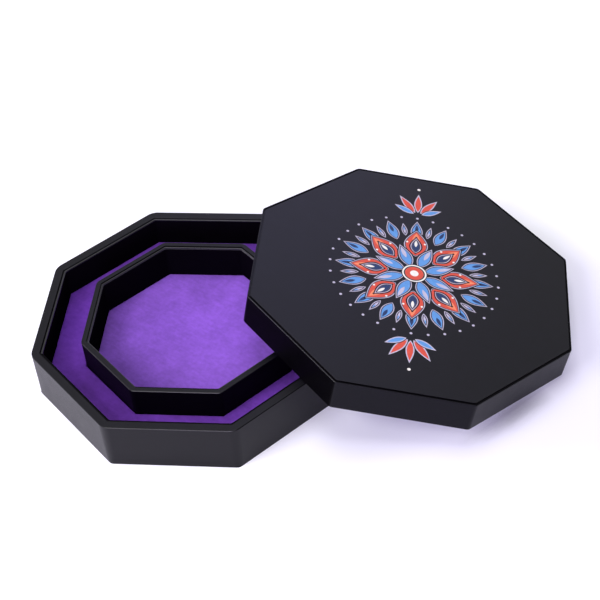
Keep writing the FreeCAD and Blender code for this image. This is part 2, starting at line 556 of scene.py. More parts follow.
class _Press:
    """Lays one shape of ink over another, in the polar coordinates `reach` and `angle`."""

    def __init__(self, surface: Surface, line: float, reach: Term, angle: Term) -> None:
        """Start with no ink on the surface.

        Args:
            surface: the tree to draw in.
            line: width of an outline.
            reach: distance from the middle.
            angle: bearing from the middle.
        """
        self.surface = surface
        self.line = line
        self.blur = 0.5 * line
        self.reach = reach
        self.angle = angle
        self.colour = surface.out(surface.add("ShaderNodeRGB"))
        self.cover = surface.out(surface.add("ShaderNodeValue"))
        self.cover.socket.default_value = 0.0

    def inside(self, distance: Term) -> Term:
        """1 where a signed distance is negative, with a soft edge."""
        return (0.5 - distance / self.blur).clamp()

    def lay(self, edge: Term, ink: Colour) -> None:
        """Lay one ink over what is there.

        Args:
            edge: signed distance from the shape's edge, negative inside.
            ink: the ink's colour.
        """
        mask = self.inside(edge)
        self.colour = self.surface.mix(mask, self.colour, ink)
        self.cover = self.surface.math("MAXIMUM", self.cover, mask)

    def cut(self, edge: Term) -> None:
        """Take the ink off inside an edge, so that the ground shows."""
        self.cover = self.cover * (1.0 - self.inside(edge))

    def sector(self, count: int, turned: bool) -> tuple[Term, Term]:
        """Fold the plane into equal sectors.

        Args:
            count: how many sectors.
            turned: whether they are turned by half a sector.

        Returns:
            Distance along a sector's middle, and distance beside it.
        """
        half = math.pi / count
        folded = self.surface.math("PINGPONG", self.angle + (half if turned else 0.0), half)
        along = self.reach * self.surface.math("COSINE", folded)
        return along, self.reach * self.surface.math("SINE", folded)

    def leaf(self, along: Term, beside: Term, start: float, tip: float, width: float) -> Term:
        """Shape a leaf that lies along a sector's middle.

        Args:
            along: distance along the middle.
            beside: distance beside it.
            start: where the leaf starts.
            tip: where it ends.
            width: its half width.

        Returns:
            Signed distance beside the leaf's edge.
        """
        share = ((along - start) / (tip - start)).clamp()
        swell = self.surface.math("SINE", math.pi * self.surface.math("POWER", share, 0.8))
        past = self.surface.math("MAXIMUM", start - along, along - tip)
        return self.surface.math("MAXIMUM", beside - width * swell + self.blur, past)

    def petals(self, wreath: Petals, rim: Colour) -> None:
        """Print one wreath: a cut gap, a rim line, a fill and a lighter heart.

        Args:
            wreath: the wreath.
            rim: ink of the rim line.
        """
        along, beside = self.sector(wreath.count, wreath.turned)
        edge = self.leaf(along, beside, wreath.start, wreath.tip, wreath.half_width)
        self.cut(edge - 1.6 * self.line)
        self.lay(edge, rim)
        self.cut(edge + self.line)
        self.lay(edge + 2.0 * self.line, wreath.fill)
        middle = 0.62 * wreath.start + 0.38 * wreath.tip
        heart = self.leaf(along, beside, middle, 0.94 * wreath.tip, 0.34 * wreath.half_width)
        self.lay(heart, wreath.heart)

    def fan(
        self, bearings: Sequence[float], length: float, width: float, fill: Colour, rim: Colour
    ) -> None:
        """Print single leaves that spread from one point.

        Args:
            bearings: the leaves' bearings.
            length: their length.
            width: their half width.
            fill: ink inside them.
            rim: ink of their rim.
        """
        for turn in bearings:
            along = self.reach * self.surface.math("COSINE", self.angle - turn)
            beside = abs(self.reach * self.surface.math("SINE", self.angle - turn))
            edge = self.leaf(along, beside, 0.05, length, width)
            self.cut(edge - self.line)
            self.lay(edge, rim)
            self.lay(edge + 1.3 * self.line, fill)

    def dots(self, count: int, orbit: float, size: float, ink: Colour, turned: bool = False) -> None:
        """Print a ring of dots."""
        along, beside = self.sector(count, turned)
        self.lay(self.surface.length(along - orbit, beside) - size, ink)

    def ring(self, orbit: float, width: float, ink: Colour) -> None:
        """Print a ring, cut clear of what lies under it."""
        self.cut(self.reach - orbit - width)
        self.lay(abs(self.reach - orbit) - width / 2, ink)

    def disc(self, size: float, ink: Colour) -> None:
        """Print a disc."""
        self.lay(self.reach - size, ink)


@dataclass(frozen=True)
class PrintedLeatherette(Leatherette):
    """The leatherette of the lid's panel, with the medallion printed on it.

    `onto` is the print's own frame in the row frame, with its origin at the medallion's centre.
    """

    name: str = "lid_panel"
    colour: Colour = (0.0015, 0.0013, 0.0032)
    gloss: float = 0.15
    grain_depth: float = 0.020 * MM
    print_design: Medallion = Medallion()
    worn: float = 0.10
    onto: Matrix = field(kw_only=True)

    def draw(self, surface: Surface) -> None:
        """Fill the tree, and lay the print over it.

        Args:
            surface: the tree.
        """
        super().draw(surface)
        ground, gloss = (
            Term(surface, surface.shader.inputs[name].links[0].from_socket)
            for name in ("Base Color", "Roughness")
        )
        spot = surface.add(
            "ShaderNodeMapping",
            {"vector_type": "TEXTURE"},
            Vector=surface.place,
            Location=self.onto.to_translation(),
            Rotation=self.onto.to_euler(),
        )
        ink, cover = self.print_design.paint(surface, surface.out(spot))
        cover = cover * (1.0 - self.worn * ((0.42 - surface.clouds(0.5 * MM, 3.0)) * 12.0).clamp())
        ink = surface.scaled(ink, 0.80 + 0.30 * surface.clouds(2.2 * MM, 3.0))
        surface.shade(Base_Color=surface.mix(cover, ground, ink), Roughness=gloss + cover * 0.12)


@dataclass(frozen=True)
class PaleFloor:
    """A white sweep that keeps soft lilac shadows near the lid, with a painted contact shadow, and is
    plain white farther off, where its glow paints light over the shade.
    """

    name: str = "pale_floor"
    lit: Colour = (0.745, 0.735, 0.82)
    glow: Colour = (0.112, 0.117, 0.140)
    far_glow: Colour = (0.30, 0.31, 0.28)
    horizon_glow: Colour = (1.0, 1.0, 1.0)
    horizon_reach: float = 420 * MM
    horizon_fade: float = 900 * MM
    shade_at: Pair = (252 * MM, -78 * MM)
    shade_reach: float = 80 * MM
    fade: float = 130 * MM
    contact_at: Pair = (189 * MM, -79 * MM)
    contact_reach: float = 37 * MM
    contact_fade: float = 40 * MM
    contact_width: float = 20 * MM
    contact_depth: float = 3.9
    contact_falloff: float = 3.8

    def material(self) -> Material:
        """Make a matt floor with a painted contact shadow and a glow for the rays that show it.

        Returns:
            The finished material.
        """
        surface = Surface(self.name)
        # Painted contact shadow: ambient occlusion near `contact_at` darkens the floor's colour and its
        # glow.
        away = self._away(surface, self.contact_at, self.contact_reach, self.contact_fade)
        occlusion = surface.add("ShaderNodeAmbientOcclusion", Distance=self.contact_width)
        covered = (self.contact_depth * (1.0 - surface.out(occlusion, "AO"))).clamp()
        painted_contact_shadow = surface.math("POWER", covered, self.contact_falloff) * (1.0 - away)
        lit = surface.mix(painted_contact_shadow, self.lit, BLACK)
        surface.shade(Base_Color=lit, Roughness=1.0, Specular_IOR_Level=0.0)
        # The glow is faint near `shade_at` and grows into plain white farther off, painting light over
        # the lamps' shade there.
        far = self._away(surface, self.shade_at, self.shade_reach, self.fade)
        horizon = self._away(surface, self.shade_at, self.horizon_reach, self.horizon_fade)
        glow = surface.mix(painted_contact_shadow, self.glow, BLACK)
        glow = surface.mix(far * far, glow, self.far_glow)
        glow = surface.mix(horizon, glow, self.horizon_glow)
        shine = surface.add("ShaderNodeEmission", Color=glow, Strength=surface.shown())
        both = surface.add("ShaderNodeAddShader")
        for socket, part in zip(both.inputs, (surface.out(surface.shader), surface.out(shine))):
            surface.set(socket, part)
        surface.set(surface.end.inputs["Surface"], surface.out(both))
        return surface.material

    @staticmethod
    def _away(surface: Surface, spot: Pair, reach: float, fade: float) -> Term:
        """Tell how far the floor lies from a spot.

        Args:
            surface: the floor's tree.
            spot: the spot.
            reach: distance within which the result is 0.
            fade: over how many metres more it rises to 1.

        Returns:
            The share, from 0 to 1.
        """
        distance = surface.add("ShaderNodeVectorMath", {"operation": "DISTANCE"}, Vector=surface.place)
        surface.set(distance.inputs[1], (*spot, 0.0))
        return ((surface.out(distance, "Value") - reach) / fade).clamp()


# ---- Shapes ----


def put(name: str, data: bpy.types.ID) -> Object:
    """Put new data into the scene.

    Args:
        name: the object's name.
        data: its mesh, lamp or camera.

    Returns:
        The object.
    """
    thing = bpy.data.objects.new(name, data)
    bpy.context.scene.collection.objects.link(thing)
    return thing


def baked(carrier: Object, name: str) -> Mesh:
    """Bake an object with its modifiers into a mesh, and remove the object.

    Args:
        carrier: the object.
        name: the mesh's name.

    Returns:
        The mesh.
    """
    evaluated = carrier.evaluated_get(bpy.context.evaluated_depsgraph_get())
    mesh = bpy.data.meshes.new_from_object(evaluated)
    bpy.data.objects.remove(carrier)
    mesh.name = name
    return mesh


@dataclass(frozen=True)
class Corner:
    """A corner of a profile: how deep it lies inside the outer flats, its height and its rounding."""

    depth: float
    z: float
    radius: float = 0.0


@dataclass(frozen=True)
class Profile:
    """The cross-section that is carried round an octagon.

    The octagon's corners are rounded where the profile is no deeper than `soft_to`, and mitred from
    the depth `sharp_from` on.
    """

    corners: tuple[Corner, ...]
    closed: bool = True
    steps: int = 5
    soft_to: float = 1.0
    sharp_from: float = 1.0

    def points(self) -> list[Triple]:
        """Points of the profile.

        Returns:
            (depth, sharpness, z) for each; sharpness is 1 where a corner of the octagon is mitred.
        """
        spots = [Vector((corner.depth, corner.z)) for corner in self.corners]
        flat: list[Vector] = []
        for i, here in enumerate(spots):
            radius = self.corners[i].radius
            if radius <= 0 or not (self.closed or 0 < i < len(spots) - 1):
                flat.append(here)
                continue
            back = (spots[i - 1] - here).normalized()
            ahead = (spots[(i + 1) % len(spots)] - here).normalized()
            flat.extend(self._arc(here, back, ahead, radius))
        if self.closed:
            flat.append(flat[0])
        span = (self.sharp_from - self.soft_to) or HAIR
        return [(p.x, min(max((p.x - self.soft_to) / span, 0.0), 1.0), p.y) for p in flat]

    def _arc(self, here: Vector, back: Vector, ahead: Vector, radius: float) -> list[Vector]:
        """Round one corner over.

        Args:
            here: the corner.
            back: direction to the corner before it.
            ahead: direction to the corner after it.
            radius: radius of the round-over.

        Returns:
            Evenly turned points from the arc's start to its end.
        """
        bend = back.angle(ahead)
        along = radius / math.tan(bend / 2)
        centre = here + (back + ahead).normalized() * (radius / math.sin(bend / 2))
        first = here + back * along - centre
        last = here + ahead * along - centre
        sweep = first.angle(last)
        shares = [step / self.steps for step in range(self.steps + 1)]
        return [
            centre
            + first * (math.sin((1 - share) * sweep) / math.sin(sweep))
            + last * (math.sin(share * sweep) / math.sin(sweep))
            for share in shares
        ]


class OctagonSweep:
    """Geometry Nodes tree that carries a profile round a rounded octagon.

    The modifier's own mesh is the profile. Each side is an arc, a straight stretch and an arc, from one
    mitre plane to the next. A point deeper than the corner radius goes round a sharp corner.
    """

    LENGTHS = ("Across", "Corner Radius", "Foot Corner Radius", "Foot", "Height", "Corner Growth")
    COUNTS = ("Arc Steps", "Straight Steps", "Sides", "First Side")

    def __init__(self) -> None:
        """Build the tree."""
        self.tree = bpy.data.node_groups.new("octagon_sweep", "GeometryNodeTree")
        kinds = {"Profile": "Geometry"}
        kinds |= dict.fromkeys(self.LENGTHS, "Float")
        kinds |= dict.fromkeys(self.COUNTS, "Int")
        kinds["Finish"] = "Material"
        self.identifiers = {name: self._open(name, kind, "INPUT") for name, kind in kinds.items()}
        self._open("Piece", "Geometry", "OUTPUT")
        graph = Graph(self.tree)
        given = graph.add("NodeGroupInput")
        piece = self._carried(graph, given)
        for kind, sockets in (
            ("MergeByDistance", {"Distance": WELD}),
            ("SetShadeSmooth", {}),
            ("RealizeInstances", {}),
            ("SetMaterial", {"Material": graph.out(given, "Finish")}),
        ):
            piece = graph.out(graph.add("GeometryNode" + kind, Geometry=piece, **sockets))
        graph.add("NodeGroupOutput", Piece=piece)

    def _open(self, name: str, kind: str, way: str) -> str:
        """Open a named input or output of the tree, and give its identifier."""
        sockets = self.tree.interface
        return sockets.new_socket(name=name, in_out=way, socket_type="NodeSocket" + kind).identifier

    @staticmethod
    def _carried(graph: Graph, given: Node) -> Term:
        """Place a grid of stations by profile points.

        Args:
            graph: the tree.
            given: its input node.

        Returns:
            The swept geometry, before its doubles are merged.
        """
        profile, across, arc, straight, foot, foot_corner = (
            graph.out(given, name)
            for name in ("Profile", "Across", "Arc Steps", "Straight Steps", "Foot", "Foot Corner Radius")
        )
        size = graph.add("GeometryNodeAttributeDomainSize", {"component": "MESH"}, Geometry=profile)
        points = graph.out(size, "Point Count")
        per_side = 2 * arc + straight + 1
        stations = graph.out(given, "Sides") * per_side
        grid = graph.add("GeometryNodeMeshGrid", Vertices_X=stations, Vertices_Y=points)
        index = graph.out(graph.add("GeometryNodeInputIndex"))
        station = graph.math("FLOOR", index / points)
        side = graph.math("FLOOR", station / per_side)
        step = station - side * per_side
        here = graph.add(
            "GeometryNodeSampleIndex",
            {"data_type": "FLOAT_VECTOR", "domain": "POINT"},
            Geometry=profile,
            Value=graph.out(graph.add("GeometryNodeInputPosition")),
            Index=index - station * points,
        )
        split = graph.add("ShaderNodeSeparateXYZ", Vector=graph.out(here))
        depth, sharp, height = (graph.out(split, axis) for axis in "XYZ")
        raised = ((height - foot) / graph.out(given, "Height")).clamp()
        raised = graph.math("POWER", raised, graph.out(given, "Corner Growth"))
        corner = foot_corner + (graph.out(given, "Corner Radius") - foot_corner) * raised
        before = 1.0 - graph.math("MINIMUM", step / arc, 1.0)
        after = graph.math("MAXIMUM", (step - arc - straight) / arc, 0.0)
        bearing = (after - before) * HALF_TURN
        slide = ((step - arc) / straight).clamp() * 2.0 - 1.0
        apothem = across / 2.0 - graph.math("MAXIMUM", depth, corner)
        radius = graph.math("MAXIMUM", corner - depth, 0.0)
        lean = graph.math("COSINE", bearing)
        reach = radius * (1.0 + sharp * (1.0 / lean - 1.0))
        x = apothem * SLOPE * slide + reach * graph.math("SINE", bearing)
        y = -(apothem + reach * lean)
        turn = (side + graph.out(given, "First Side")) * TURN
        cos, sin = graph.math("COSINE", turn), graph.math("SINE", turn)
        place = graph.add("ShaderNodeCombineXYZ", X=x * cos - y * sin, Y=x * sin + y * cos, Z=height)
        flat, moved_to = graph.out(grid, "Mesh"), graph.out(place)
        return graph.out(graph.add("GeometryNodeSetPosition", Geometry=flat, Position=moved_to))

    def mesh(
        self,
        name: str,
        profile: Profile,
        finish: Material,
        across: float,
        corner_radius: float = 0.0,
        foot_corner_radius: float | None = None,
        corner_growth: float = 1.0,
        straight_steps: int = 1,
        side: Side | None = None,
    ) -> Mesh:
        """Bake one piece.

        Args:
            name: the mesh's name.
            profile: the cross-section.
            finish: the material.
            across: outer size from flat to flat.
            corner_radius: rounding of the octagon's upright corners.
            foot_corner_radius: their rounding at the foot, or None for the same all the way.
            corner_growth: power of the height with which the rounding grows; under 1 is fast.
            straight_steps: steps along the straight stretch of a side.
            side: the one side to make, or None for the whole round.

        Returns:
            A closed mesh, level and centred on the Z axis.
        """
        points = profile.points()
        heights = [point[2] for point in points]
        drawn = bpy.data.meshes.new(name + "_profile")
        drawn.from_pydata(points, [(i, i + 1) for i in range(len(points) - 1)], [])
        carrier = put(name + "_carrier", drawn)
        modifier = carrier.modifiers.new("sweep", "NODES")
        modifier.node_group = self.tree
        values = {
            "Across": across,
            "Corner Radius": corner_radius,
            "Foot Corner Radius": corner_radius if foot_corner_radius is None else foot_corner_radius,
            "Foot": min(heights),
            "Height": max(heights) - min(heights),
            "Corner Growth": corner_growth,
            "Arc Steps": ARC_STEPS if corner_radius > 0 else 1,
            "Straight Steps": straight_steps,
            "Sides": SIDES if side is None else 1,
            "First Side": 0 if side is None else list(Side).index(side),
            "Finish": finish,
        }
        for key, value in values.items():
            modifier[self.identifiers[key]] = value
        mesh = baked(carrier, name)
        bpy.data.meshes.remove(drawn)
        self._close(mesh)
        return mesh

    @staticmethod
    def _close(mesh: Mesh) -> None:
        """Close the mitred ends and turn every face outwards.

        Args:
            mesh: the swept mesh.
        """
        work = bmesh.new()
        work.from_mesh(mesh)
        open_edges = [edge for edge in work.edges if edge.is_boundary]
        if open_edges:
            bmesh.ops.holes_fill(work, edges=open_edges)
        bmesh.ops.recalc_face_normals(work, faces=work.faces)
        for face in work.faces:
            face.smooth = True
        work.to_mesh(mesh)
        work.free()


@dataclass(frozen=True)
class Placing:
    """A level frame of its own for one part of the object, and where it stands in the row frame."""

    matrix: Matrix = field(default_factory=lambda: Matrix.Identity(4))

    @classmethod
    def of_slab(cls, node: str, middle_height: float) -> "Placing":
        """Read a leaning part's frame from an octagonal slab in it.

        Args:
            node: the slab's node.
            middle_height: how high the slab's middle lies in the part's own frame.

        Returns:
            The frame: Z out of the slab's upper face, X out of the side that faces most to the right.
        """
        mesh = frame["nodes"][node].data
        up = max(mesh.polygons, key=lambda face: face.area).normal.copy()
        if up.z < 0:
            up.negate()
        rims = [face.normal for face in mesh.polygons if abs(face.normal.dot(up)) < EDGE_ON]
        right = max(rims, key=lambda normal: normal.x).copy()
        right = (right - up * right.dot(up)).normalized()
        centre = sum((vertex.co for vertex in mesh.vertices), Vector()) / len(mesh.vertices)
        turned = Matrix((right, up.cross(right), up)).transposed()
        return cls(Matrix.Translation(centre - up * middle_height) @ turned.to_4x4())

    def span(self, *nodes: str) -> tuple[Vector, Vector]:
        """Measure some nodes in this frame.

        Args:
            *nodes: their names.

        Returns:
            The lowest and the highest corner of their box.
        """
        back = self.matrix.inverted()
        places = [back @ vertex.co for node in nodes for vertex in frame["nodes"][node].data.vertices]
        low, high = (Vector([end(place[i] for place in places) for i in range(3)]) for end in (min, max))
        return low, high


LEVEL = Placing()


class Bench:
    """Turns meshes into finished pieces."""

    def __init__(self) -> None:
        """Build the sweep tree once."""
        self.sweep = OctagonSweep()

    def piece(
        self,
        mesh: Mesh,
        nodes: Sequence[str],
        body: Body,
        slot: str,
        placing: Placing = LEVEL,
        crisp: float = 40.0,
    ) -> Object:
        """Make a piece that stands for CAD nodes.

        Args:
            mesh: the piece's mesh, in the frame of `placing`.
            nodes: the nodes that it replaces.
            body: the body that it rides on.
            slot: the record's material slot; not used.
            placing: where the piece's frame stands.
            crisp: edges sharper than this many degrees stay crisp.

        Returns:
            The finished object, at the origin and unscaled.
        """
        mesh.transform(placing.matrix)
        mesh.set_sharp_from_angle(angle=math.radians(crisp))
        rough = put(mesh.name + "_rough", mesh)
        rough.modifiers.new("weighted", "WEIGHTED_NORMAL").keep_sharp = True
        final = baked(rough, mesh.name + "_shape")
        made = put(mesh.name, final)
        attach(made, body.value)
        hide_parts(*nodes)
        log.info("%s: %d faces, stands for %s", made.name, len(final.polygons), ", ".join(nodes))
        return made


def flat_area(across: float, hole: float = 0.0) -> float:
    """Area of an octagon from flat to flat, less an octagonal hole."""
    return 2 * SLOPE * (across**2 - hole**2)


def depth_in(across: float, spot: Vector) -> float:
    """How deep a point lies inside an octagon's nearest flat."""
    turns = [turn * TURN for turn in range(SIDES)]
    return across / 2 - max(spot.x * math.sin(turn) + spot.y * math.cos(turn) for turn in turns)


def side_of(spot: Vector) -> Side:
    """The side of an octagon that a point lies nearest."""
    return list(Side)[round(math.atan2(spot.x, -spot.y) / TURN) % SIDES]


def dress(mesh: Mesh, across: float, finish: Material, where: Callable[[float, Vector], bool]) -> None:
    """Give some faces of a swept mesh another finish.

    Args:
        mesh: the mesh.
        across: its size from flat to flat.
        finish: the other material.
        where: says for a face's middle, from its depth and place, whether it gets the finish.
    """
    mesh.materials.append(finish)
    place = len(mesh.materials) - 1
    for face in mesh.polygons:
        if where(depth_in(across, face.center), face.center):
            face.material_index = place


# ---- Sub-assemblies ----


class Finishes:
    """The materials that more than one piece may wear."""

    def __init__(self) -> None:
        """Build them."""
        self.leatherette = Leatherette().material()
        lid = Leatherette("lid_leatherette", (0.0010, 0.0008, 0.0030), gloss=0.115)
        self.lid_leatherette = lid.material()
        # A darker, almost glossless copy of the leatherette: painted shade in seams, on flanks, on shaded
        # edges and boards, and in the lid's groove.
        matt = Leatherette("painted_shade_leatherette", (0.0008, 0.0006, 0.0012), 0.40, gloss=0.03)
        self.matt = matt.material()
        # A brighter, glossier copy of the leatherette: painted highlight on rim edges, lining rolls and
        # the lid's front-left bead.
        edge = Leatherette("painted_highlight_leatherette", (0.0036, 0.0033, 0.0050), 0.28, gloss=0.42)
        self.edge = edge.material()
        self.flock = Flock().material()
        self.velvet = Velvet().material()
        # A darker, deeper copy of the velvet with less sheen: painted shade over the moat.
        self.moat_velvet = Velvet("moat_velvet", (0.136, 0.034, 0.370), sheen=0.15).material()
        self.lid_velvet = Velvet("lid_velvet").material()
        self.foam = Foam().material()
        self.papered = PaperedBoard("underside_board", (0.012, 0.0115, 0.013)).material()
        self.greyboard = PaperedBoard("inner_board", (0.17, 0.15, 0.125)).material()


@dataclass(frozen=True)
class WallRing:
    """A closed ring of eight mitred boards under leatherette.

    The darker, almost glossless copy of the leatherette paints shade in the seam at the inner edge of the
    rim, apart from the `plain` sides, on what is more than `flank_below` under the rim, on the outer edge
    of the rim on the `painted_shade_edge` sides, and on the whole `painted_shade_board`. The outer edge
    of the rim wears the brighter, glossier copy as a painted highlight on the `painted_highlight_on`
    sides.
    """

    prefix: str
    body: Body
    corner_radius: float
    top_round: float
    inner_round: float
    foot_round: float
    placing: Placing = LEVEL
    foot_corner_radius: float | None = None
    corner_growth: float = 1.0
    flank_below: float = 1.0
    seam: float = 0.3 * MM
    plain: tuple[Side, ...] = ()
    painted_highlight_on: tuple[Side, ...] = (Side.FRONT,)
    painted_shade_edge: tuple[Side, ...] = ()
    painted_shade_board: Side | None = None
    edge_more: float = 0.05 * MM
    rows: int = 1

    def nodes(self) -> list[str]:
        """Names of the eight boards."""
        return [self.prefix + side.value for side in Side]

    def measure(self) -> tuple[float, float, float, float]:
        """Read the ring's sizes from the frame.

        Returns:
            Size across, wall thickness, low end and high end.
        """
        low, high = self.placing.span(*self.nodes())
        left_low, left_high = self.placing.span(self.prefix + Side.LEFT.value)
        return high.x - low.x, left_high.x - left_low.x, low.z, high.z

    def build(self, bench: Bench, main: Material, finishes: Finishes) -> None:
        """Make the eight boards.

        Args:
            bench: the bench.
            main: their main finish.
            finishes: the darker copy that paints shade and the brighter copy that paints a highlight.
        """
        across, wall, low, high = self.measure()
        profile = self._profile(wall, low, high)
        reach = self.top_round + self.edge_more
        flank, rim = high - self.flank_below, high - reach
        for side in Side:
            node = self.prefix + side.value
            inner = wall if side in self.plain else wall - self.seam
            mesh = bench.sweep.mesh(
                node + "_wrapped",
                profile,
                finishes.matt if side is self.painted_shade_board else main,
                across,
                self.corner_radius,
                self.foot_corner_radius,
                self.corner_growth,
                side=side,
            )
            # Painted shade in the seam and on the flanks, then a painted highlight or painted shade on
            # the rim's outer edge.
            dress(mesh, across, finishes.matt, lambda depth, spot: depth > inner or spot.z < flank)
            if side in self.painted_highlight_on or side in self.painted_shade_edge:
                outer = finishes.edge if side in self.painted_highlight_on else finishes.matt
                dress(mesh, across, outer, lambda depth, spot: depth < reach and spot.z > rim)
            bench.piece(mesh, [node], self.body, "black_leatherette", self.placing)

    def _profile(self, wall: float, low: float, high: float) -> Profile:
        """Draw the cross-section of a board, with more rows towards its foot.

        Args:
            wall: its thickness.
            low: its low end.
            high: its high end.

        Returns:
            The cross-section.
        """
        shares = [(row / self.rows) ** 2 for row in range(self.rows - 1, 0, -1)]
        seam = [Corner(wall - self.seam, high)] if self.seam > self.inner_round else []
        corners = [Corner(wall, low), Corner(wall, high, self.inner_round), *seam]
        corners += [Corner(0.0, high, self.top_round)]
        corners += [Corner(0.0, low + (high - low) * share) for share in shares]
        corners += [Corner(0.0, low, self.foot_round)]
        soft_to = max(self.top_round, self.foot_round)
        return Profile(tuple(corners), soft_to=soft_to, sharp_from=wall - self.inner_round)


@dataclass(frozen=True)
class LiningStrip:
    """A flocked strip round the inside of a wall, with a rolled leatherette upper edge.

    The roll wears the brighter, glossier copy of the leatherette as a painted highlight, and the darker,
    almost glossless copy as painted shade on the `shaded` sides and where it lies in the seam.
    """

    node: str
    top_drop: float = 0.0
    shaded: tuple[Side, ...] = (Side.FRONT,)
    roll_width: float = 1.4 * MM
    roll_height: float = 1.3 * MM
    roll_round: float = 0.45 * MM
    roll_foot_round: float = 0.15 * MM
    seam: float = 0.3 * MM
    corner_radius: float = 4.5 * MM

    def build(self, bench: Bench, finishes: Finishes) -> None:
        """Make the strip.

        Args:
            bench: the bench.
            finishes: its flock, and the darker and brighter copies of the leatherette that paint its
                shade and highlight.
        """
        low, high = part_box(self.node)
        across = high.x - low.x
        inner_low, inner_high = self.inner_span()
        thick = (across - (inner_high - inner_low)) / 2
        top = high.z - self.top_drop
        under = top - self.roll_height
        corners = (
            Corner(thick, low.z),
            Corner(thick, under),
            Corner(self.roll_width, under, self.roll_foot_round),
            Corner(self.roll_width, top, self.roll_round),
            Corner(0.0, top, self.seam),
            Corner(0.0, low.z),
        )
        profile = Profile(corners, soft_to=thick, sharp_from=self.seam)
        name = self.node + "_flocked"
        # The roll wears the brighter copy as a painted highlight; the darker copy paints shade on the
        # shaded sides and in the seam.
        mesh = bench.sweep.mesh(name, profile, finishes.edge, across, self.corner_radius)
        dress(
            mesh,
            across,
            finishes.matt,
            lambda depth, spot: depth < self.seam or side_of(spot) in self.shaded,
        )
        dress(mesh, across, finishes.flock, lambda depth, spot: spot.z < under)
        bench.piece(mesh, [self.node], Body.TRAY, "black_lining")

    def inner_span(self) -> Pair:
        """Find the strip's inner faces where it crosses the X axis.

        Returns:
            Place of the left one and of the right one.
        """
        faces = frame["nodes"][self.node].data.polygons
        upright = [face for face in faces if abs(face.normal.x) > FACE_ON]
        inner = [face.center.x for face in upright if face.normal.x * face.center.x < 0]
        return min(inner), max(inner)


